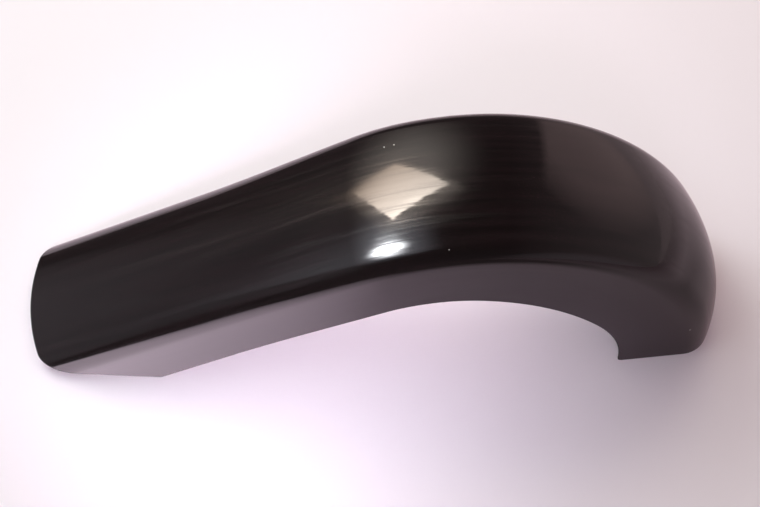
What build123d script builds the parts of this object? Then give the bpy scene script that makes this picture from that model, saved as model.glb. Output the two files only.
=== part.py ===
from build123d import *

import os
from math import asin, cos, pi, radians, sin, sqrt, tan

# Rear fender of a motorcycle: one glass-fibre moulding, an inverted channel that climbs in a straight ramp
# from its front end, bends round the wheel and comes down to an upright tail.
# It lies as on a bench, on its two front corners and its tail rim. X points to the tail, Y across, Z up.
# Lengths in mm, angles in degrees. "Along" is measured on the ridge from where the ramp meets the bend:
# negative towards the front end, positive towards the tail.

# Ridge, the top line of the crown
ridge_radius = 345.0
ramp_angle = 32.3

# Section at the front end
front_half_width = 103.5
front_crown_radius = 408.0
front_shoulder_radius = 36.5

# Section at the hip, the widest place
hip_half_width = 111.0
hip_crown_radius = 383.0
hip_shoulder_radius = 26.5

# Section at the tail
tail_half_width = 100.5
tail_crown_radius = 164.0
tail_shoulder_radius = 41.0

# Where one section turns into the next, along the ridge
hip_blend_start = -242.0
hip_blend_end = 84.0
tail_blend_start = 184.0

# Side walls and laminate
wall_draft = 4.0
wall_thickness = 3.0

# Trimmed edges: depth of the skirt under the ridge, and where it grows from one depth to the other
ramp_skirt_depth = 110.5
tail_skirt_depth = 147.0
skirt_swell_start = -30.0
skirt_swell_end = 500.0
front_cut_angle = 5.3
front_corner_radius = 14.0
tail_corner_radius = 6.0

# The raw moulding runs past its finished edges and is trimmed back
trim_margin = 60.0

# How many sections and edge points carry the shape
moulding_stations = 49
swell_stations = 5

slope = radians(ramp_angle)
draft = radians(wall_draft)
bend_length = ridge_radius * (pi / 2 + slope)


def ridge_frame(along):
    """Point of the ridge and its outward normal in the side view, about the wheel centre."""
    turn = pi / 2 + slope - max(along, 0.0) / ridge_radius
    run = min(along, 0.0)
    x = ridge_radius * cos(turn) + run * cos(slope)
    z = ridge_radius * sin(turn) + run * sin(slope)
    return x, z, cos(turn), sin(turn)


def below_ridge(along, depth):
    """Side-view point at a depth square to the ridge."""
    x, z, normal_x, normal_z = ridge_frame(along)
    return x - depth * normal_x, z - depth * normal_z


def ease(start, end, along):
    """Smooth step from 0 to 1 between two places on the ridge."""
    share = min(max((along - start) / (end - start), 0.0), 1.0)
    return share * share * (3.0 - 2.0 * share)


def blended(front, hip, tail, along):
    """Value that goes from front to hip to tail along the ridge."""
    to_hip = ease(hip_blend_start, hip_blend_end, along)
    to_tail = ease(tail_blend_start, bend_length, along)
    return front + (hip - front) * to_hip + (tail - hip) * to_tail


def skirt_depth(along):
    """Depth of the trimmed lower edge under the ridge."""
    swell = ease(skirt_swell_start, skirt_swell_end, along)
    return ramp_skirt_depth + (tail_skirt_depth - ramp_skirt_depth) * swell


def skin_line(half_width, crown_radius, shoulder_radius, foot_depth, inset):
    """One face of the channel from foot to foot: wall, shoulder, crown, shoulder, wall.

    The ridge of the outer face is at the origin. The inner face is the same line set in by the laminate.
    """
    shoulder_x = half_width - shoulder_radius
    shoulder_y = sqrt((crown_radius - shoulder_radius) ** 2 - shoulder_x**2) - crown_radius
    crown_end = asin(shoulder_x / (crown_radius - shoulder_radius))
    wall_top = pi / 2 - draft
    radius = shoulder_radius - inset

    def on_shoulder(angle):
        return shoulder_x + radius * sin(angle), shoulder_y + radius * cos(angle)

    crown = on_shoulder(crown_end)
    bulge = on_shoulder((crown_end + wall_top) / 2)
    top = on_shoulder(wall_top)
    foot = (top[0] + (top[1] + foot_depth) * tan(draft), -foot_depth)

    def other_side(point):
        return -point[0], point[1]

    return [
        Line(other_side(foot), other_side(top)),
        ThreePointArc(other_side(top), other_side(bulge), other_side(crown)),
        ThreePointArc(other_side(crown), (0, -inset), crown),
        ThreePointArc(crown, bulge, top),
        Line(top, foot),
    ]


def channel_section(along):
    """Face of the laminate, square to the ridge, down to below the deepest skirt."""
    half_width = blended(front_half_width, hip_half_width, tail_half_width, along)
    crown_radius = blended(front_crown_radius, hip_crown_radius, tail_crown_radius, along)
    shoulder_radius = blended(front_shoulder_radius, hip_shoulder_radius, tail_shoulder_radius, along)
    foot_depth = max(ramp_skirt_depth, tail_skirt_depth) + trim_margin
    outer = skin_line(half_width, crown_radius, shoulder_radius, foot_depth, 0.0)
    inner = skin_line(half_width, crown_radius, shoulder_radius, foot_depth, wall_thickness)
    feet = [Line(outer[-1] @ 1, inner[-1] @ 1), Line(inner[0] @ 0, outer[0] @ 0)]
    x, z, normal_x, normal_z = ridge_frame(along)
    plane = Plane(origin=(x, 0, z), x_dir=(0, 1, 0), z_dir=(normal_z, 0, -normal_x))
    return plane * make_face(outer + inner + feet)


# Ends of the fender: the front corner, where the straight skirt comes down to the bench, and the ridge at
# the front cut, which rises forward from that corner
foot_x, foot_z = below_ridge(0.0, ramp_skirt_depth)
corner_x = foot_x - foot_z / tan(slope)
cut_rise = tan(radians(front_cut_angle))
bend_x, bend_z = below_ridge(0.0, 0.0)
front_along = -(bend_z + (bend_x - corner_x) * cut_rise) / (sin(slope) + cos(slope) * cut_rise)
front_x = below_ridge(front_along, 0.0)[0]
tail_x = ridge_radius
middle_x = (front_x + tail_x) / 2


def raw_moulding():
    """The untrimmed channel, carried up the ramp and round the bend."""
    start = front_along - trim_margin
    step = (bend_length + trim_margin - start) / (moulding_stations - 1)
    return loft([channel_section(start + step * index) for index in range(moulding_stations)])


def trim_block():
    """Everything inside the trim lines in the side view, right across the fender."""
    high = ridge_radius + trim_margin
    far_front = front_x - trim_margin
    far_tail = tail_x + trim_margin
    corner = (corner_x, 0)
    toe = (far_front, (corner_x - far_front) * cut_rise)
    heel = below_ridge(bend_length, tail_skirt_depth)
    step = (skirt_swell_end - skirt_swell_start) / (swell_stations - 1)
    places = [skirt_swell_end - step * index for index in range(swell_stations)]
    swell = [below_ridge(along, skirt_depth(along)) for along in places]
    _, _, normal_x, normal_z = ridge_frame(skirt_swell_end)
    up_the_bend = (-normal_z, normal_x)
    down_the_ramp = (-cos(slope), -sin(slope))
    outline = [
        Polyline(corner, toe, (far_front, high), (far_tail, high), (far_tail, 0), heel),
        RadiusArc(heel, swell[0], tail_skirt_depth - ridge_radius),
        Spline(swell, tangents=[up_the_bend, down_the_ramp]),
        Line(swell[-1], corner),
    ]
    profile = make_face(outline)
    at_corner = profile.vertices().sort_by_distance((*corner, 0))[0]
    profile = fillet(at_corner, front_corner_radius)
    at_heel = profile.vertices().sort_by_distance((*heel, 0))[0]
    profile = fillet(at_heel, tail_corner_radius)
    reach = max(front_half_width, hip_half_width, tail_half_width) * 2
    return extrude(Plane.XZ * profile, amount=reach, both=True)


fender_shell = Pos(-middle_x, 0, 0) * (raw_moulding() & trim_block())

os.makedirs("parts", exist_ok=True)
export_step(fender_shell, "parts/fender_shell.step")
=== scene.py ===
from math import atan, cos, pi, radians, sin, tan

import bpy
import numpy as np
from mathutils import Matrix, Vector


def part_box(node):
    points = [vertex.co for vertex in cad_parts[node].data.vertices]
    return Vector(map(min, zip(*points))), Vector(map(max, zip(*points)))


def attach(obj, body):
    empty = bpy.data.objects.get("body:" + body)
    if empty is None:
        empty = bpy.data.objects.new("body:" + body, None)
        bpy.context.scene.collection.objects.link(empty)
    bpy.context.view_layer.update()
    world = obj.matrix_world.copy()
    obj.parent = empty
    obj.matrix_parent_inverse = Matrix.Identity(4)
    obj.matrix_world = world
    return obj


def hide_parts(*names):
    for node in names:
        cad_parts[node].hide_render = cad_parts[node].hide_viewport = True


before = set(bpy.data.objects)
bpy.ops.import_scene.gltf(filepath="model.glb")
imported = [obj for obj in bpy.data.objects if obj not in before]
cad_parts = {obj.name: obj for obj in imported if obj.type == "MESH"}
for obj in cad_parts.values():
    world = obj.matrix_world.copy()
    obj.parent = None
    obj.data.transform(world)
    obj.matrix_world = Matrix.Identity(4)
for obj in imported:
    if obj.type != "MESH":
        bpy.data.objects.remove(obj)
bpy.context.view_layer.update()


# Fender shell: one hand-laid glass-fibre moulding, polished black gelcoat outside and a flow coat inside.
# It is pulled from a female mould as an untrimmed channel, and its feet, front end and tail rim are sawn.
# The fitter drills it for the struts, so the moulding itself has no holes.
ridge_radius = 0.345
ramp_slope = radians(32.3)
bend_length = ridge_radius * (pi / 2 + ramp_slope)
axle_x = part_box("fender_shell")[1].x - ridge_radius
wall_draft = radians(4.0)
laminate = 0.003
# half width, crown radius and shoulder radius of the three sections
front_section = (0.1035, 0.408, 0.0365)
hip_section = (0.111, 0.383, 0.0265)
tail_section = (0.1005, 0.164, 0.041)
# where one section and one depth of skirt go over into the next, along the ridge from the start of the bend
hip_blend = (-0.242, 0.084)
tail_blend = (0.184, bend_length)
skirt_swell = (-0.030, 0.500)
ramp_skirt = 0.1105
tail_skirt = 0.147
front_cut_rise = tan(radians(5.3))
front_corner = 0.014
tail_corner = 0.006
# radius of the sanded edges
arris = 0.0006
front_arris = 0.002
# points of the mesh over half the crown, round a shoulder, down a wall, round an arris, and rows of the run
crown_points = 25
shoulder_points = 17
wall_points = 16
arris_points = 4
run_rows = 300


def ease(span, along):
    """Smooth step over a span: 0 before it and 1 after it.

    Between, it is three times the square of the share that is passed, less twice its cube.
    """
    share = np.clip((along - span[0]) / (span[1] - span[0]), 0.0, 1.0)
    return share * share * (3.0 - 2.0 * share)


def section_sizes(along):
    """Half width, crown radius and shoulder radius: the front's eased to the hip's, then to the tail's."""
    to_hip = ease(hip_blend, along)
    to_tail = ease(tail_blend, along)
    sizes = zip(front_section, hip_section, tail_section)
    return [front + (hip - front) * to_hip + (tail - hip) * to_tail for front, hip, tail in sizes]


def section_line(along, across, inset, foot_pull):
    """Point of the section square to the ridge: sideways, depth under the ridge, and length round the skin.

    Across runs 0 to 1 over the crown's arc, 1 to 2 round the shoulder's arc and 2 to 3 straight down the
    wall, with its sign for the side. Inset is how far in from the gelcoat, and it shortens both arcs' radii.
    Foot pull is how far the wall stops short of its trimmed foot.
    """
    half_width, crown_radius, shoulder_radius = section_sizes(along)
    reach = np.abs(across)
    side = np.where(across < 0, -1.0, 1.0)
    shoulder_out = half_width - shoulder_radius
    shoulder_down = crown_radius - np.sqrt((crown_radius - shoulder_radius) ** 2 - shoulder_out**2)
    crown_end = np.arcsin(shoulder_out / (crown_radius - shoulder_radius))
    wall_start = pi / 2 - wall_draft
    crown_angle = crown_end * np.minimum(reach, 1.0)
    turn = crown_end + (wall_start - crown_end) * np.clip(reach - 1.0, 0.0, 1.0)
    crown_arc = crown_radius - inset
    shoulder_arc = shoulder_radius - inset
    top_out = shoulder_out + shoulder_arc * sin(wall_start)
    top_down = shoulder_down - shoulder_arc * cos(wall_start)
    foot_down = ramp_skirt + (tail_skirt - ramp_skirt) * ease(skirt_swell, along) - foot_pull
    down_wall = np.clip(reach - 2.0, 0.0, 1.0) * (foot_down - top_down)
    zones = [reach <= 1.0, reach <= 2.0]
    sideways = np.select(
        zones,
        [crown_arc * np.sin(crown_angle), shoulder_out + shoulder_arc * np.sin(turn)],
        top_out + down_wall * tan(wall_draft),
    )
    depth = np.select(
        zones,
        [crown_radius - crown_arc * np.cos(crown_angle), shoulder_down - shoulder_arc * np.cos(turn)],
        top_down + down_wall,
    )
    round_skin = crown_radius * crown_angle + shoulder_radius * (turn - crown_end) + down_wall
    return side * sideways, depth, side * round_skin


def off_ridge(along, depth):
    """Side-view point at a depth square to the ridge: straight ramp before 0, arc about the axle after."""
    turn = pi / 2 + ramp_slope - np.maximum(along, 0.0) / ridge_radius
    run = np.minimum(along, 0.0)
    return (
        (ridge_radius - depth) * np.cos(turn) + run * cos(ramp_slope),
        (ridge_radius - depth) * np.sin(turn) + run * sin(ramp_slope),
    )


def front_end(depth):
    """Place on the ramp where the front cut meets a given depth.

    The cut is a plane that rises forward from the front corner, and an arc rounds the corner itself.
    """
    foot_x, foot_z = off_ridge(0.0, ramp_skirt)
    corner_x = foot_x - foot_z / tan(ramp_slope)
    start_x, start_z = off_ridge(0.0, depth)
    fall = sin(ramp_slope) + cos(ramp_slope) * front_cut_rise
    plane = -(start_z + (start_x - corner_x) * front_cut_rise) / fall
    corner_along = -foot_z / sin(ramp_slope)
    turn = ramp_slope + atan(front_cut_rise)
    tangent = front_corner * tan(turn / 2)
    rise = np.clip(depth - ramp_skirt + front_corner, 0.0, front_corner)
    rounded = corner_along + tangent - np.sqrt(front_corner**2 - rise**2)
    return np.where(depth > ramp_skirt - tangent * sin(turn), rounded, plane)


def tail_end(depth):
    """Place on the bend where the level tail rim meets a given depth, with the heel of the skirt rounded."""
    rise = np.clip(depth - tail_skirt + tail_corner, 0.0, tail_corner)
    height = tail_corner - np.sqrt(tail_corner**2 - rise**2)
    return bend_length - ridge_radius * np.arcsin(height / (ridge_radius - depth))


# round the laminate: from the middle of the left foot's edge over the gelcoat to the right, and back inside
# a power crowds the wall's points towards its foot, and the lowest of them stands just above the arris
wall_crowding = 1.5
lowest_wall_point = 2.993
arris_turn = np.linspace(0.0, pi / 2, arris_points)
edge_inset = np.r_[laminate / 2, arris * (1.0 - np.sin(arris_turn))]
edge_pull = np.r_[0.0, arris * (1.0 - np.cos(arris_turn))]
to_foot = np.linspace(1.0, 0.0, wall_points)[1:-1] ** wall_crowding
wall_across = np.r_[2.0 + (1.0 - to_foot), lowest_wall_point]
shoulder_across = np.linspace(1.0, 2.0, shoulder_points)[1:]
half_across = np.r_[np.linspace(0.0, 1.0, crown_points), shoulder_across, wall_across]
skin_across = np.r_[-half_across[:0:-1], half_across]
rim = len(edge_inset)
face_across = np.r_[[-3.0] * rim, skin_across, [3.0] * rim]
face_inset = np.r_[edge_inset, np.zeros(len(skin_across)), edge_inset[::-1]]
face_pull = np.r_[edge_pull, np.full(len(skin_across), arris), edge_pull[::-1]]
half_ring = len(face_across) - 1
ring_across = np.r_[face_across, face_across[-2:0:-1]]
ring_inset = np.r_[face_inset, laminate - face_inset[-2:0:-1]]
ring_pull = np.r_[face_pull, face_pull[-2:0:-1]]
ring_size = len(ring_across)

# along the fender: the rounded front edge, the run of the moulding, the rounded tail rim
# as shares of the run: two close rows at each end, and even ones between
edge_rows = arris_points - 1
end_rows = np.array([0.0, 0.0008])
run_start = 0.003
run_share = np.r_[end_rows, np.linspace(run_start, 1.0 - run_start, run_rows), 1.0 - end_rows[::-1]]
row_share = np.r_[np.zeros(edge_rows), run_share, np.ones(edge_rows)][:, None]
row_count = len(row_share)
end_turn = np.linspace(pi / 2, 0.0, arris_points)
end_pull = 1.0 - np.sin(end_turn)
row_front_pull = front_arris * np.r_[end_pull, np.ones(row_count - arris_points)][:, None]
row_tail_pull = arris * np.r_[np.ones(row_count - arris_points), end_pull[::-1]][:, None]
end_inset = arris * (1.0 - np.cos(end_turn))
row_inset = np.r_[end_inset, np.zeros(row_count - 2 * arris_points), end_inset[::-1]][:, None]
inset = np.clip(ring_inset[None, :], row_inset, laminate - row_inset)

front_depth = section_line(hip_blend[0], ring_across, inset, ring_pull)[1]
tail_depth = section_line(bend_length, ring_across, inset, ring_pull)[1]
first = front_end(front_depth) + row_front_pull
last = tail_end(tail_depth) - row_tail_pull
along = first + row_share * (last - first)

# hand lay-up leaves the inner face a little uneven: the mean of slow waves that cross, faded at the edges;
# each wave has its radians per metre along and round the skin, and its start
lump_height = 0.00035
lump_waves = [
    (55.0, 31.0, 0.4),
    (-38.0, 63.0, 1.9),
    (91.0, -47.0, 3.1),
    (23.0, 112.0, 4.6),
    (-120.0, -75.0, 5.3),
]
end_fade = (0.0, 0.03)
foot_fade = (0.0, 0.25)
round_skin = section_line(along, ring_across, inset, ring_pull)[2]
waves = [
    np.sin(turn_along * along + turn_round * round_skin + start)
    for turn_along, turn_round, start in lump_waves
]
lumps = sum(waves) / len(waves)
away_from_ends = ease(end_fade, np.minimum(row_share, 1.0 - row_share))
away_from_feet = ease(foot_fade, 3.0 - np.abs(ring_across))
inner_face = np.clip(inset / laminate * 2.0 - 1.0, 0.0, 1.0)
inset = inset + lump_height * lumps * away_from_ends * away_from_feet * inner_face

sideways, depth, round_skin = section_line(along, ring_across, inset, ring_pull)
side_x, side_z = off_ridge(along, depth)
shell_points = np.stack([side_x + axle_x, sideways, side_z], axis=-1).reshape(-1, 3)

row = np.arange(row_count - 1)[:, None] * ring_size
next_row = row + ring_size
column = np.arange(ring_size)[None, :]
beside = (column + 1) % ring_size
skin_faces = np.stack([row + column, next_row + column, next_row + beside, row + beside], -1).reshape(-1, 4)

# each end is closed by a band of quads across the laminate, with a triangle at either foot
outer = np.arange(1, half_ring - 1)
front_band = np.stack([outer, outer + 1, ring_size - outer - 1, ring_size - outer], -1)
front_tips = np.array([(0, 1, ring_size - 1), (half_ring - 1, half_ring, half_ring + 1)])
tail_band = front_band[:, ::-1] + next_row[-1, 0]
tail_tips = front_tips[:, ::-1] + next_row[-1, 0]
caps = front_band.tolist() + front_tips.tolist() + tail_band.tolist() + tail_tips.tolist()

shell_mesh = bpy.data.meshes.new("fender_shell_moulding")
shell_mesh.from_pydata(shell_points.tolist(), [], skin_faces.tolist() + caps)
shell_mesh.shade_smooth()
moulding = bpy.data.objects.new("fender_moulding", shell_mesh)
bpy.context.scene.collection.objects.link(moulding)

# real lengths along and round the skin, for finishes that follow the moulding
loop_vertex = np.empty(len(shell_mesh.loops), dtype=np.int32)
shell_mesh.loops.foreach_get("vertex_index", loop_vertex)
skin_lengths = np.stack([along, round_skin], -1).reshape(-1, 2).astype(np.float32)
shell_mesh.uv_layers.new(name="skin_lengths").data.foreach_set("uv", skin_lengths[loop_vertex].ravel())

# gelcoat outside, sawn laminate on the edges, flow-coated mat inside
gelcoat_slot, sawn_slot, mat_slot = 0, 1, 2
column_finish = np.full(ring_size, sawn_slot, dtype=np.int32)
column_finish[rim : half_ring - rim] = gelcoat_slot
column_finish[half_ring + rim : ring_size - rim] = mat_slot
skin_finish = np.tile(column_finish, (row_count - 1, 1))
skin_finish[:edge_rows] = sawn_slot
skin_finish[-edge_rows:] = sawn_slot
cap_finish = np.full(len(caps), sawn_slot, dtype=np.int32)
shell_mesh.polygons.foreach_set("material_index", np.r_[skin_finish.ravel(), cap_finish])


def new_finish(name):
    """A node material, its tree and its main shader, ready for the finish's own nodes."""
    finish = bpy.data.materials.new(name)
    finish.use_nodes = True
    return finish, finish.node_tree, finish.node_tree.nodes["Principled BSDF"]


def feed(tree, value, socket):
    """A socket gets a fixed value, or a link where the value is another node's socket."""
    if isinstance(value, bpy.types.NodeSocket):
        tree.links.new(value, socket)
    else:
        socket.default_value = value


def grain(tree, place, per_metre, detail):
    """Noise with about so many grains per metre along each coordinate: few of them make long streaks."""
    mapping = tree.nodes.new("ShaderNodeMapping")
    mapping.inputs["Scale"].default_value = per_metre
    tree.links.new(place, mapping.inputs["Vector"])
    noise = tree.nodes.new("ShaderNodeTexNoise")
    noise.inputs["Scale"].default_value = 1.0
    noise.inputs["Detail"].default_value = detail
    tree.links.new(mapping.outputs["Vector"], noise.inputs["Vector"])
    return noise.outputs["Fac"]


# target of a remap that falls while its value rises
falling = (1.0, 0.0)


def remap(tree, value, span, to_span=(0.0, 1.0)):
    """Value carried in a straight line from one span to another and held at its ends."""
    ramp = tree.nodes.new("ShaderNodeMapRange")
    for name, number in zip(("From Min", "From Max", "To Min", "To Max"), (*span, *to_span)):
        ramp.inputs[name].default_value = number
    tree.links.new(value, ramp.inputs["Value"])
    return ramp.outputs["Result"]


def combine(tree, operation, *values):
    """Numbers joined by one arithmetic operation, each fixed or from a node."""
    step = tree.nodes.new("ShaderNodeMath")
    step.operation = operation
    for value, socket in zip(values, step.inputs):
        feed(tree, value, socket)
    return step.outputs["Value"]


def blend(tree, kind, share, low, high):
    """Low at a share of 0, high at 1 and a straight line between, for numbers (FLOAT) or colours (RGBA)."""
    mix = tree.nodes.new("ShaderNodeMix")
    mix.data_type = kind
    tree.links.new(share, mix.inputs["Factor"])
    feed(tree, low, mix.inputs["A"])
    feed(tree, high, mix.inputs["B"])
    return mix.outputs["Result"]


def distance(tree, place, centre):
    """Straight distance of a place from a centre."""
    apart = tree.nodes.new("ShaderNodeVectorMath")
    apart.operation = "DISTANCE"
    apart.inputs[1].default_value = centre
    tree.links.new(place, apart.inputs[0])
    return apart.outputs["Value"]


def raised(tree, height, strength, depth):
    """Surface normal where a height times a depth lifts the surface, taken at a strength."""
    bump = tree.nodes.new("ShaderNodeBump")
    bump.inputs["Strength"].default_value = strength
    bump.inputs["Distance"].default_value = depth
    tree.links.new(height, bump.inputs["Height"])
    return bump.outputs["Normal"]


def skin_place(tree):
    """The moulding's own lengths along and round the skin."""
    skin = tree.nodes.new("ShaderNodeUVMap")
    skin.uv_map = "skin_lengths"
    return skin.outputs["UV"]


# polished gelcoat: sanding lines and hairlines run along the moulding, under a thin film that buffing left.
# A grain counts along and round the skin, and a span is the part of its noise that shows.
haze_grain = (3.0, 70.0, 1.0)
haze_span = (0.3, 0.7)
haze_shift = (-0.15, 0.15)
hairline_grain = (7.0, 2400.0, 1.0)
hairline_span = (0.5, 0.72)
polished_to_scratched = (0.045, 0.27)
ripple_grain = (4.0, 110.0, 1.0)
ripple_depth = 0.00005
sanding_grain = (5.0, 420.0, 1.0)
sanding_share = 0.3
film_grain = (4.0, 90.0, 1.0)
film_span = (0.3, 0.75)
clean_black = (0.0008, 0.0003, 0.0004, 1.0)
filmed_black = (0.0066, 0.0031, 0.0036, 1.0)
gelcoat, tree, shader = new_finish("black_gelcoat")
shader.inputs["IOR"].default_value = 1.5
shader.inputs["Coat Weight"].default_value = 0.06
shader.inputs["Coat Roughness"].default_value = 0.3
shader.inputs["Coat IOR"].default_value = 1.5
skin = skin_place(tree)
haze = remap(tree, grain(tree, skin, haze_grain, 4.0), haze_span, haze_shift)
hairlines = combine(tree, "ADD", grain(tree, skin, hairline_grain, 1.0), haze)
polish = remap(tree, hairlines, hairline_span, polished_to_scratched)
ripples = grain(tree, skin, ripple_grain, 3.0)
sanding_lines = grain(tree, skin, sanding_grain, 1.0)
uneven = combine(tree, "MULTIPLY_ADD", sanding_lines, sanding_share, ripples)
tree.links.new(raised(tree, uneven, 1.0, ripple_depth), shader.inputs["Normal"])
film = remap(tree, grain(tree, skin, film_grain, 4.0), film_span)
black = blend(tree, "RGBA", film, clean_black, filmed_black)

# a chip low on the tail's left wall and three small pale specks on the crown: place and radius
marks = [
    ((0.4263, -0.1003, 0.0776), 0.0016),
    ((0.0054, 0.0662, 0.3127), 0.0011),
    ((0.0182, 0.0664, 0.3177), 0.0011),
    ((0.0782, -0.0956, 0.3272), 0.0008),
]
full_mark = 0.6
mark_colour = (0.42, 0.41, 0.38, 1.0)
mark_roughness = 0.7
place = tree.nodes.new("ShaderNodeTexCoord").outputs["Object"]
marked = 0.0
for centre, radius in marks:
    mark = remap(tree, distance(tree, place, centre), (radius * full_mark, radius), falling)
    marked = combine(tree, "MAXIMUM", marked, mark)
tree.links.new(blend(tree, "RGBA", marked, black, mark_colour), shader.inputs["Base Color"])
tree.links.new(blend(tree, "FLOAT", marked, polish, mark_roughness), shader.inputs["Roughness"])

# sawn and sanded laminate: black resin with the paler cut ends of the glass, a little rough
glass_end_grain = (1500.0, 1500.0, 1500.0)
glass_end_span = (0.5, 0.75)
saw_mark_grain = (350.0, 350.0, 350.0)
saw_mark_span = (0.3, 0.7)
saw_mark_depth = 0.0001
sawn_roughness = (0.42, 0.72)
cut_resin = (0.010, 0.010, 0.011, 1.0)
cut_glass = (0.070, 0.068, 0.062, 1.0)
sawn_edge, tree, shader = new_finish("sawn_laminate")
place = tree.nodes.new("ShaderNodeTexCoord").outputs["Object"]
glass_ends = remap(tree, grain(tree, place, glass_end_grain, 2.0), glass_end_span)
saw_marks = grain(tree, place, saw_mark_grain, 3.0)
tree.links.new(blend(tree, "RGBA", glass_ends, cut_resin, cut_glass), shader.inputs["Base Color"])
tree.links.new(remap(tree, saw_marks, saw_mark_span, sawn_roughness), shader.inputs["Roughness"])
tree.links.new(raised(tree, saw_marks, 0.6, saw_mark_depth), shader.inputs["Normal"])

# chopped glass mat under a brushed black flow coat: strands stand up a little, and the coat pools in between
strand_grain = (28.0, 520.0, 1.0)
strand_turns = (0.3, 1.1, 1.9, 2.8)
strand_span = (0.5, 0.8)
strand_depth = 0.0004
pool_grain = (18.0, 18.0, 1.0)
pool_span = (0.35, 0.65)
mat_roughness = (0.28, 0.55)
coat_black = (0.007, 0.007, 0.008, 1.0)
strand_black = (0.024, 0.023, 0.022, 1.0)
glass_mat, tree, shader = new_finish("flow_coated_mat")
skin = skin_place(tree)
strands = 0.0
for turn in strand_turns:
    turned = tree.nodes.new("ShaderNodeVectorRotate")
    turned.rotation_type = "Z_AXIS"
    turned.inputs["Angle"].default_value = turn
    tree.links.new(skin, turned.inputs["Vector"])
    layer = grain(tree, turned.outputs["Vector"], strand_grain, 1.0)
    strands = combine(tree, "MAXIMUM", strands, layer)
standing = remap(tree, strands, strand_span)
pools = grain(tree, skin, pool_grain, 4.0)
tree.links.new(blend(tree, "RGBA", standing, coat_black, strand_black), shader.inputs["Base Color"])
tree.links.new(remap(tree, pools, pool_span, mat_roughness), shader.inputs["Roughness"])
tree.links.new(raised(tree, strands, 0.8, strand_depth), shader.inputs["Normal"])

for finish in (gelcoat, sawn_edge, glass_mat):
    shell_mesh.materials.append(finish)
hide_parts("fender_shell")
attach(moulding, "root")


# Floor: a plain pale studio floor, laid flat, which carries the fender at its front corners and tail rim.
# To the eye it goes over into the backdrop's own colour away from the fender. The gloss sees it pinker,
# dimmer in front and behind the tail, and with a glare beside the front end.
floor_half = 12.0
floor_colour = (0.88, 0.785, 0.825, 1.0)
floor_in_gloss = (0.86, 0.67, 0.745, 1.0)
backdrop_colour = (0.93, 0.88, 0.89, 1.0)
backdrop_radius = (1.0, 2.2)
# the far floor as the gloss sees it: dim in front, brighter from behind the fender, and where that begins
far_in_gloss = (0.93, 0.7, 0.73, 1.0)
far_glow = (0.2, 0.68)
far_glow_across = (0.05, 0.6)
far_radius = (0.8, 1.5)
far_across = (0.05, 0.5)
# the dim floor in the gloss, in front of the near wall and round a place behind the tail
dim_across = (-0.75, -0.3)
dim_along = (0.4, 0.75)
dim_place = (0.68, -0.08, 0.0)
dim_radius = (0.12, 0.38)
dim_share = 0.6
# the glare in the gloss: strongest beside the front end, weak behind the fender and gone far in front of it
glare_colour = (1.0, 0.82, 0.97, 1.0)
glare_strength = 4.4
glare_along = (-0.55, 0.0)
glare_across = (-0.1, 0.05)
glare_behind = 0.1
glare_front = (-0.8, -0.4)
floor_mesh = bpy.data.meshes.new("studio_floor")
floor_corners = np.array([(-1, -1, 0), (1, -1, 0), (1, 1, 0), (-1, 1, 0)]) * floor_half
floor_mesh.from_pydata(floor_corners.tolist(), [], [(0, 1, 2, 3)])
floor = bpy.data.objects.new("studio_floor", floor_mesh)
bpy.context.scene.collection.objects.link(floor)


def product(tree, *values):
    """Several numbers multiplied together."""
    total = values[0]
    for value in values[1:]:
        total = combine(tree, "MULTIPLY", total, value)
    return total


pale_floor, tree, shader = new_finish("pale_floor")
shader.inputs["Roughness"].default_value = 0.9
shader.inputs["Specular IOR Level"].default_value = 0.1
place = tree.nodes.new("ShaderNodeTexCoord").outputs["Object"]
floor_place = tree.nodes.new("ShaderNodeSeparateXYZ")
tree.links.new(place, floor_place.inputs["Vector"])
along_floor = floor_place.outputs["X"]
across_floor = floor_place.outputs["Y"]
from_middle = distance(tree, place, (0.0, 0.0, 0.0))
ray = tree.nodes.new("ShaderNodeLightPath")
to_eye = ray.outputs["Is Camera Ray"]
in_gloss = ray.outputs["Is Glossy Ray"]
tree.links.new(blend(tree, "RGBA", in_gloss, floor_colour, floor_in_gloss), shader.inputs["Base Color"])

far_floor = tree.nodes.new("ShaderNodeEmission")
glow = remap(tree, across_floor, far_glow_across, far_glow)
tree.links.new(blend(tree, "RGBA", to_eye, far_in_gloss, backdrop_colour), far_floor.inputs["Color"])
tree.links.new(blend(tree, "FLOAT", to_eye, glow, 1.0), far_floor.inputs["Strength"])
dim_front = product(
    tree,
    remap(tree, across_floor, dim_across, falling),
    remap(tree, along_floor, dim_along, falling),
)
dim_tail = remap(tree, distance(tree, place, dim_place), dim_radius, (dim_share, 0.0))
far_back = product(tree, remap(tree, from_middle, far_radius), remap(tree, across_floor, far_across))
unseen_far = combine(tree, "MAXIMUM", combine(tree, "MAXIMUM", dim_front, dim_tail), far_back)
seen_far = remap(tree, from_middle, backdrop_radius)
near_to_far = tree.nodes.new("ShaderNodeMixShader")
tree.links.new(blend(tree, "FLOAT", to_eye, unseen_far, seen_far), near_to_far.inputs["Fac"])
tree.links.new(shader.outputs["BSDF"], near_to_far.inputs[1])
tree.links.new(far_floor.outputs["Emission"], near_to_far.inputs[2])

glare = tree.nodes.new("ShaderNodeEmission")
glare.inputs["Color"].default_value = glare_colour
glare_light = product(
    tree,
    remap(tree, along_floor, glare_along, (glare_strength, 0.0)),
    remap(tree, across_floor, glare_across, (1.0, glare_behind)),
    remap(tree, across_floor, glare_front),
    in_gloss,
)
tree.links.new(glare_light, glare.inputs["Strength"])
with_glare = tree.nodes.new("ShaderNodeAddShader")
tree.links.new(near_to_far.outputs["Shader"], with_glare.inputs[0])
tree.links.new(glare.outputs["Emission"], with_glare.inputs[1])
tree.links.new(with_glare.outputs["Shader"], tree.nodes["Material Output"].inputs["Surface"])
floor_mesh.materials.append(pale_floor)


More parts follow.
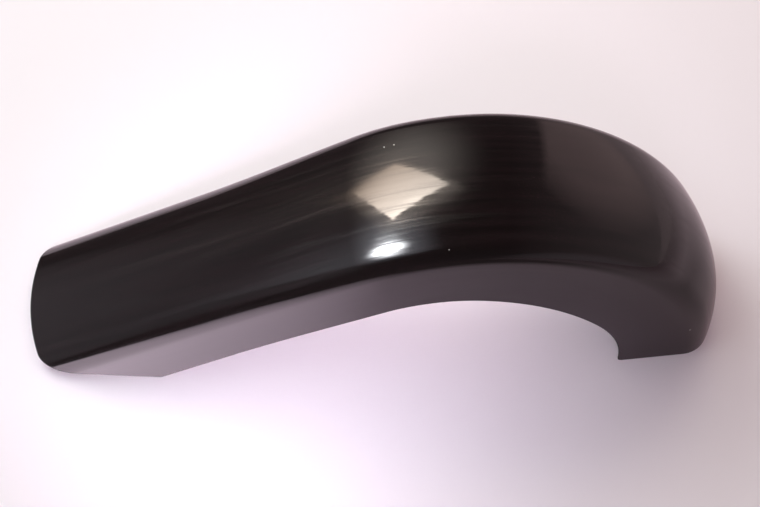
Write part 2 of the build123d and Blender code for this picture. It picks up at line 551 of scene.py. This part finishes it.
# Lamps: a soft box above and behind the front end and a strip lamp with its glow, which only the gloss shows.
# Flat panels light the floor and stay out of the gloss: a key behind on the left, one behind the tail, one
# overhead, and three narrow fills in front. All hang on stands out of the picture.
def lamp(name, centre, right, up, size, radiance, colour):
    """A flat lamp of given edges, which shines against the cross product of its right and up edges.

    Its power is its radiance times pi times its area.
    """
    light = bpy.data.lights.new(name, "AREA")
    light.shape = "RECTANGLE"
    light.size, light.size_y = size
    light.energy = radiance * pi * size[0] * size[1]
    light.color = colour
    stand = bpy.data.objects.new(name, light)
    right = Vector(right).normalized()
    out = right.cross(Vector(up)).normalized()
    axes = Matrix((right, out.cross(right), out)).transposed().to_4x4()
    stand.matrix_world = Matrix.Translation(centre) @ axes
    stand.visible_camera = False
    bpy.context.scene.collection.objects.link(stand)
    return stand


def lamp_face(stand):
    """The tree of a lamp's own shader, and the place on its face, which runs from 0 to 1 both ways."""
    stand.data.use_nodes = True
    tree = stand.data.node_tree
    return tree, tree.nodes.new("ShaderNodeNewGeometry").outputs["Parametric"]


# the cloth of the soft box leaves a margin of the face to a faint halo, has two soft and two sharp edges,
# and brightens from one side to the other, most along its lower edge and its far rim
box_centre = (-0.919, 0.947, 1.508)
box_right = (0.732, -0.681, -0.026)
box_up = (0.525, 0.539, 0.659)
box_size = (1.821, 1.231)
box_radiance = 25.0
box_colour = (1.0, 0.88, 0.76)
warm_side = (1.0, 0.86, 0.75, 1.0)
plain_side = (1.0, 1.0, 1.0, 1.0)
box_margin = 0.143
near_margin = (0.0, box_margin)
far_margin = (1.0 - box_margin, 1.0)
cloth_span = (box_margin, 1.0 - box_margin)
cloth_left = (0.125, 0.165)
cloth_right = (0.853, 0.861)
cloth_bottom = (0.138, 0.148)
cloth_top = (0.840, 0.875)
lower_brightness = (0.06, 0.92)
upper_brightness = (0.27, 0.56)
rim_across = (0.87, 0.95)
rim_upward = (0.4, 0.9)
rim_strength = 0.17
halo_strength = 0.07
soft_box = lamp("soft_box", box_centre, box_right, box_up, box_size, box_radiance, box_colour)
soft_box.visible_diffuse = False
tree, face_place = lamp_face(soft_box)
face_parts = tree.nodes.new("ShaderNodeSeparateXYZ")
tree.links.new(face_place, face_parts.inputs["Vector"])
lamp_across = face_parts.outputs["X"]
lamp_upward = face_parts.outputs["Y"]
cloth_across = remap(tree, lamp_across, cloth_span)
cloth_upward = remap(tree, lamp_upward, cloth_span)
on_cloth = product(
    tree,
    remap(tree, lamp_across, cloth_left),
    remap(tree, lamp_across, cloth_right, falling),
    remap(tree, lamp_upward, cloth_bottom),
    remap(tree, lamp_upward, cloth_top, falling),
)
halo = product(
    tree,
    remap(tree, lamp_across, near_margin, (0.0, halo_strength)),
    remap(tree, lamp_across, far_margin, falling),
    remap(tree, lamp_upward, near_margin),
    remap(tree, lamp_upward, far_margin, falling),
)
bright_rim = product(
    tree,
    remap(tree, cloth_across, rim_across, (0.0, rim_strength)),
    remap(tree, cloth_upward, rim_upward, falling),
)
lower_edge = remap(tree, cloth_across, (0.0, 1.0), lower_brightness)
upper_edge = remap(tree, cloth_across, (0.0, 1.0), upper_brightness)
cloth = combine(tree, "ADD", blend(tree, "FLOAT", cloth_upward, lower_edge, upper_edge), bright_rim)
box_light = tree.nodes["Emission"]
tree.links.new(blend(tree, "FLOAT", on_cloth, halo, cloth), box_light.inputs["Strength"])
tree.links.new(blend(tree, "RGBA", cloth_across, warm_side, plain_side), box_light.inputs["Color"])

# the strip lamp and its glow: name, centre, edges, radiance, and the power of its fall-off from the middle
strips = (
    ("strip_lamp", (-0.714, 0.0, 1.123), (0.15, 0.66), 290.0, 4.0),
    ("strip_glow", (-0.712, -0.052, 1.129), (0.5, 0.5), 24.0, 2.0),
)
strip_right = (0.0, -1.0, 0.0)
strip_up = (0.776, 0.036, 0.629)
strip_colour = (0.95, 0.97, 1.0)
face_middle = (0.5, 0.5, 0.0)
face_radius = (0.0, 0.5)
for name, centre, size, radiance, narrowing in strips:
    strip = lamp(name, centre, strip_right, strip_up, size, radiance, strip_colour)
    strip.data.shape = "ELLIPSE"
    strip.visible_diffuse = False
    tree, face_place = lamp_face(strip)
    to_middle = remap(tree, distance(tree, face_place, face_middle), face_radius, falling)
    fall_off = combine(tree, "POWER", to_middle, narrowing)
    tree.links.new(fall_off, tree.nodes["Emission"].inputs["Strength"])


def aimed(name, centre, target, size, radiance, colour):
    """A lamp that faces a target, level from side to side, and that the gloss doesn't show."""
    out = (Vector(centre) - Vector(target)).normalized()
    right = Vector((-out.y, out.x, 0.0))
    stand = lamp(name, centre, right, out.cross(right), size, radiance, colour)
    stand.visible_glossy = False
    return stand


aimed("key_panel", (-1.3, 1.3, 1.9), (0.0, 0.0, 0.0), (1.6, 1.2), 4.75, (0.95, 1.09, 1.07))
aimed("back_panel", (0.6, 1.3, 1.8), (0.3, 0.4, 0.0), (1.0, 1.0), 3.4, (1.07, 1.0, 0.9))
aimed("ceiling_panel", (-0.8, 0.0, 2.0), (-0.4, 0.0, 0.0), (1.5, 1.5), 1.0, (0.8, 1.2, 1.1))
# centre, target and radiance of each fill
front_fills = (
    ((-0.5, -1.0, 1.3), (-0.18, -0.07, 0.0), 1.28),
    ((-0.2, -1.2, 1.3), (-0.02, -0.06, 0.0), 0.59),
    ((0.2, -1.2, 1.3), (0.2, -0.05, 0.0), 0.33),
)
fill_size = (0.4, 0.4)
fill_colour = (1.0, 0.94, 1.1)
fill_spread = radians(30.0)
for centre, target, radiance in front_fills:
    fill = aimed("front_fill", centre, target, fill_size, radiance, fill_colour)
    fill.data.spread = fill_spread


# Room: a dim studio round the lamps, with plain painted walls that the gloss shows and the camera doesn't.
# It is paler low on the left, on the right, on the wall behind the tail, in front on the right, and round the
# soft box and the strip lamp. To the eye it is all one backdrop.
dim_wall = (0.15, 0.115, 0.12, 1.0)
dim_ceiling = (0.11, 0.075, 0.075, 1.0)
ceiling_rise = (0.2, 0.9)
pale_left = (0.95, 0.85, 0.93, 1.0)
left_rise = (0.22, 0.46)
left_high_share = 0.25
pale_right = (0.42, 0.33, 0.34, 1.0)
pale_wall = (0.95, 0.68, 0.68, 1.0)
pale_front = (0.55, 0.44, 0.48, 1.0)
box_glow = (2.0, 1.8, 1.65, 1.0)
strip_glow = (1.9, 1.9, 2.15, 1.0)
world = bpy.data.worlds.new("room")
bpy.context.scene.world = world
world.use_nodes = True
tree = world.node_tree
look = tree.nodes.new("ShaderNodeTexCoord").outputs["Generated"]
look_parts = tree.nodes.new("ShaderNodeSeparateXYZ")
tree.links.new(look, look_parts.inputs["Vector"])
upward = look_parts.outputs["Z"]


def patch(tree, look, direction, cosines):
    """Share of a patch of the room, which rises with the cosine of the angle from the patch's direction."""
    agreement = tree.nodes.new("ShaderNodeVectorMath")
    agreement.operation = "DOT_PRODUCT"
    agreement.inputs[1].default_value = Vector(direction).normalized()
    tree.links.new(look, agreement.inputs[0])
    return remap(tree, agreement.outputs["Value"], cosines)


overhead = remap(tree, upward, ceiling_rise)
left_side = patch(tree, look, (-1.0, 0.0, 0.0), (0.74, 0.90))
low_left = product(tree, left_side, remap(tree, upward, left_rise, (1.0, left_high_share)))
right_side = patch(tree, look, (1.0, 0.0, 0.0), (0.25, 0.95))
past_wall_edge = patch(tree, look, (0.512, -0.160, -0.207), (-0.02, 0.04))
behind_tail = patch(tree, look, (0.66, 0.66, 0.35), (0.85, 0.965))
front_right = patch(tree, look, (0.62, -0.78, 0.0), (0.84, 0.97))
near_box = patch(tree, look, (-0.42, 0.60, 0.68), (0.82, 0.99))
near_strip = patch(tree, look, (-0.65, 0.03, 0.76), (0.90, 1.0))
room = blend(tree, "RGBA", overhead, dim_wall, dim_ceiling)
room = blend(tree, "RGBA", low_left, room, pale_left)
room = blend(tree, "RGBA", right_side, room, pale_right)
room = blend(tree, "RGBA", product(tree, past_wall_edge, behind_tail), room, pale_wall)
room = blend(tree, "RGBA", front_right, room, pale_front)
room = blend(tree, "RGBA", product(tree, near_box, near_box, near_box), room, box_glow)
room = blend(tree, "RGBA", product(tree, near_strip, near_strip), room, strip_glow)
to_eye = tree.nodes.new("ShaderNodeLightPath").outputs["Is Camera Ray"]
background = tree.nodes["Background"]
tree.links.new(blend(tree, "RGBA", to_eye, room, backdrop_colour), background.inputs["Color"])


# Camera: the photograph's own place, turn and lens, fitted to the fender's edges.
# The lens is the photograph's focal length in pixels, carried over to a frame 36 mm wide.
camera_turn = radians(-7.134)
camera_height = radians(62.084)
camera_roll = radians(4.491)
camera_distance = 2.986593
looked_at = Vector((0.002707, 0.0, 0.141344))
frame_width = 36.0
photo_width = 760.0
photo_focal_length = 2200.0
level = Vector((cos(camera_turn), sin(camera_turn), 0.0))
back = Vector((
    sin(camera_turn) * cos(camera_height),
    -cos(camera_turn) * cos(camera_height),
    sin(camera_height),
))
right = cos(camera_roll) * level + sin(camera_roll) * back.cross(level)
camera = bpy.data.objects.new("camera", bpy.data.cameras.new("camera"))
camera.data.lens = frame_width * photo_focal_length / photo_width
camera_axes = Matrix((right, back.cross(right), back)).transposed().to_4x4()
camera.matrix_world = Matrix.Translation(looked_at + camera_distance * back) @ camera_axes
bpy.context.scene.collection.objects.link(camera)
bpy.context.scene.camera = camera
bpy.context.scene.view_settings.view_transform = "Standard"
